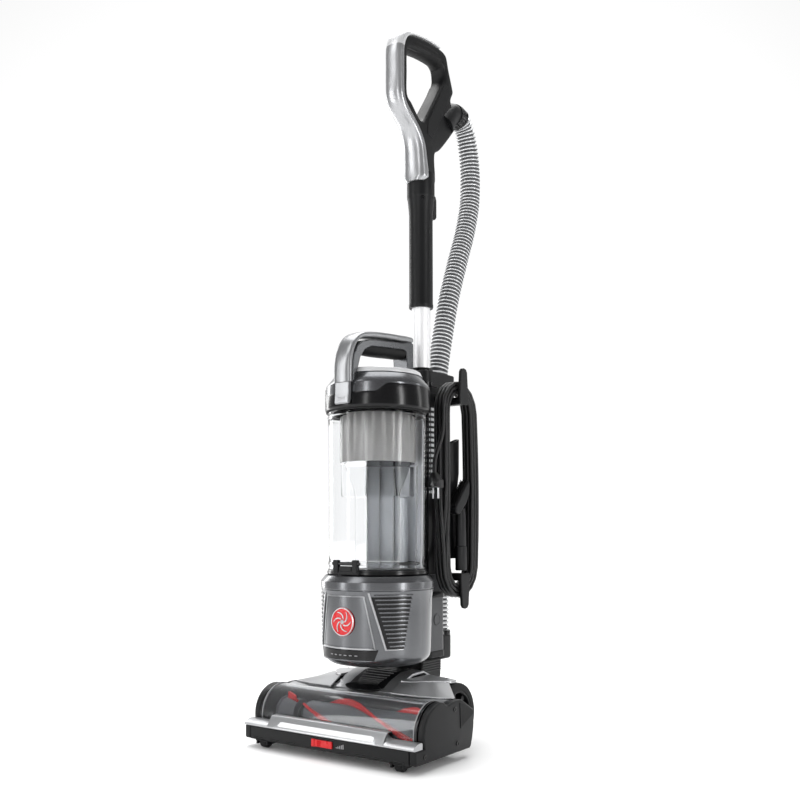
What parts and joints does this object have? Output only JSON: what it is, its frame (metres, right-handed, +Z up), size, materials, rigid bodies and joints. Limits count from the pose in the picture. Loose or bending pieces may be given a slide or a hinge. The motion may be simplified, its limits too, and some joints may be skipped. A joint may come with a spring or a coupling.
{
  "type": "upright vacuum cleaner",
  "caption": "Upright vacuum cleaner with a clear dust cup, floor head with brush roll, lift-away wand with loop handle, suction hose, tools and wound mains cord.",
  "frame": {"origin": "On the floor, under the middle of the cleaner's box measured without its hose and cord", "axes": "+Z up, -Y the front of the floor head, +X the side that carries the cord and tools"},
  "size_m": [0.313, 0.4286, 1.17],
  "materials": {
    "black_plastic": "fine satin texture",
    "gunmetal_plastic": "metallic gunmetal paint, semi-gloss",
    "silver_plastic": "metallic silver paint",
    "grey_plastic": "satin moulded",
    "clear_plastic": "clear polished",
    "steel": "brushed",
    "bright_tube": "bright satin",
    "rubber": "matt",
    "red_plastic": "glossy",
    "brush_red": "bristle rows on a dark core",
    "white_lens": "frosted",
    "foam": "open-cell foam",
    "hose_plastic": "ribbed flexible plastic",
    "cord_rubber": "smooth sheath"
  },
  "bodies": {
    "floor_head": {"chassis": "black_plastic", "sole_plate": "steel", "brush_window": "clear_plastic", "side_cap_left": "black_plastic", "side_cap_right": "black_plastic", "front_bumper": "silver_plastic", "light_lens": "white_lens", "head_cover": "gunmetal_plastic", "duct_cover": "black_plastic", "cover_wing_left": "silver_plastic", "cover_wing_right": "silver_plastic", "suction_duct": "black_plastic", "brush_motor": "steel", "drive_belt": "rubber", "wheel_axle": "steel"},
    "brush_roll": {"brush_roll": "brush_red"},
    "motor_pulley": {"motor_pulley": "steel"},
    "rear_wheel_left": {"rear_wheel_left": "rubber"},
    "rear_wheel_right": {"rear_wheel_right": "rubber"},
    "front_roller_left": {"front_roller_left": "rubber"},
    "front_roller_right": {"front_roller_right": "rubber"},
    "debris_slider": {"debris_slider": "red_plastic"},
    "release_pedal": {"release_pedal": "black_plastic"},
    "upright": {"neck": "black_plastic", "lower_duct": "grey_plastic", "spine": "black_plastic", "motor_housing": "gunmetal_plastic", "exhaust_grille": "black_plastic", "suction_motor": "steel", "motor_filter": "foam", "hose_bracket": "black_plastic", "hose_elbow": "black_plastic", "metal_tube": "bright_tube", "cord_hook_lower": "black_plastic", "suction_hose": "hose_plastic", "cord_winding": "cord_rubber", "cord_lead": "cord_rubber", "strain_relief": "rubber", "power_plug": "black_plastic"},
    "motor_fan": {"motor_fan": "black_plastic"},
    "power_switch": {"power_switch": "red_plastic"},
    "cord_hook_upper": {"cord_hook_upper": "black_plastic"},
    "crevice_tool": {"crevice_tool": "black_plastic"},
    "dusting_tool": {"dusting_tool": "black_plastic"},
    "cup": {"dust_cup": "clear_plastic", "cup_base": "black_plastic", "cup_lid": "gunmetal_plastic", "lid_band": "black_plastic", "carry_handle": "silver_plastic", "carry_grip": "black_plastic", "cyclone_shroud": "grey_plastic", "cyclone_skirt": "clear_plastic", "cyclone_cone": "grey_plastic", "clean_air_duct": "grey_plastic"},
    "cup_latch": {"cup_latch": "silver_plastic"},
    "wand": {"wand_tube": "black_plastic", "handle_grip": "black_plastic", "handle_shell": "silver_plastic", "hose_cuff": "black_plastic"},
    "wand_button": {"wand_button": "black_plastic"}
  },
  "joints": [
    {"name": "brush_spin", "type": "hinge", "parent": "floor_head", "child": "brush_roll", "pos_m": [0, -0.1025, 0.045], "axis": [1, 0, 0], "continuous": true},
    {"name": "motor_pulley_spin", "type": "hinge", "parent": "floor_head", "child": "motor_pulley", "pos_m": [-0.0835, -0.0425, 0.052], "axis": [1, 0, 0], "continuous": true},
    {"name": "rear_wheel_left_spin", "type": "hinge", "parent": "floor_head", "child": "rear_wheel_left", "pos_m": [-0.104, 0.0095, 0.047], "axis": [1, 0, 0], "continuous": true},
    {"name": "rear_wheel_right_spin", "type": "hinge", "parent": "floor_head", "child": "rear_wheel_right", "pos_m": [0.104, 0.0095, 0.047], "axis": [1, 0, 0], "continuous": true},
    {"name": "front_roller_left_spin", "type": "hinge", "parent": "floor_head", "child": "front_roller_left", "pos_m": [-0.123, -0.1505, 0.008], "axis": [1, 0, 0], "continuous": true},
    {"name": "front_roller_right_spin", "type": "hinge", "parent": "floor_head", "child": "front_roller_right", "pos_m": [0.123, -0.1505, 0.008], "axis": [1, 0, 0], "continuous": true},
    {"name": "debris_slide", "type": "slide", "parent": "floor_head", "child": "debris_slider", "axis": [1, 0, 0], "range_m": [0, 0.018]},
    {"name": "release_pedal_press", "type": "hinge", "parent": "floor_head", "child": "release_pedal", "pos_m": [-0.066, 0.0435, 0.044], "axis": [-1, 0, 0], "range_deg": [0, 15], "stiffness_Nm_per_rad": 0.4, "springref_deg": -8.59},
    {"name": "recline", "type": "hinge", "parent": "floor_head", "child": "upright", "pos_m": [0, 0.0535, 0.062], "axis": [-1, 0, 0], "range_deg": [0, 55]},
    {"name": "motor_fan_spin", "type": "hinge", "parent": "upright", "child": "motor_fan", "pos_m": [0, -0.04, 0.2217], "axis": [0, 0, 1], "continuous": true},
    {"name": "power_switch_slide", "type": "slide", "parent": "upright", "child": "power_switch", "axis": [0, 0, 1], "range_m": [0, 0.006]},
    {"name": "cord_hook_turn", "type": "hinge", "parent": "upright", "child": "cord_hook_upper", "pos_m": [0.0353, 0.0935, 0.5308], "axis": [1, 0, 0], "range_deg": [0, 180]},
    {"name": "crevice_tool_slide", "type": "slide", "parent": "upright", "child": "crevice_tool", "axis": [0, 0, 1], "range_m": [0, 0.05]},
    {"name": "dusting_tool_slide", "type": "slide", "parent": "upright", "child": "dusting_tool", "axis": [0, 0, 1], "range_m": [0, 0.05]},
    {"name": "cup_lift", "type": "slide", "parent": "upright", "child": "cup", "axis": [0, 0, 1], "range_m": [0, 0.1]},
    {"name": "cup_latch_pull", "type": "hinge", "parent": "cup", "child": "cup_latch", "pos_m": [0, -0.1265, 0.536], "axis": [-1, 0, 0], "range_deg": [0, 20], "stiffness_Nm_per_rad": 0.2, "springref_deg": -8.59},
    {"name": "wand_lift", "type": "slide", "parent": "upright", "child": "wand", "axis": [0, 0, 1], "range_m": [0, 0.15], "deforming": ["suction_hose"]},
    {"name": "wand_button_press", "type": "slide", "parent": "wand", "child": "wand_button", "axis": [0, 0, -1], "range_m": [0, 0.008], "stiffness_N_per_m": 200, "springref_m": -0.002}
  ],
  "couplings": [
    {"joint": "motor_pulley_spin", "follows": "brush_spin", "ratio": 1.6667}
  ]
}
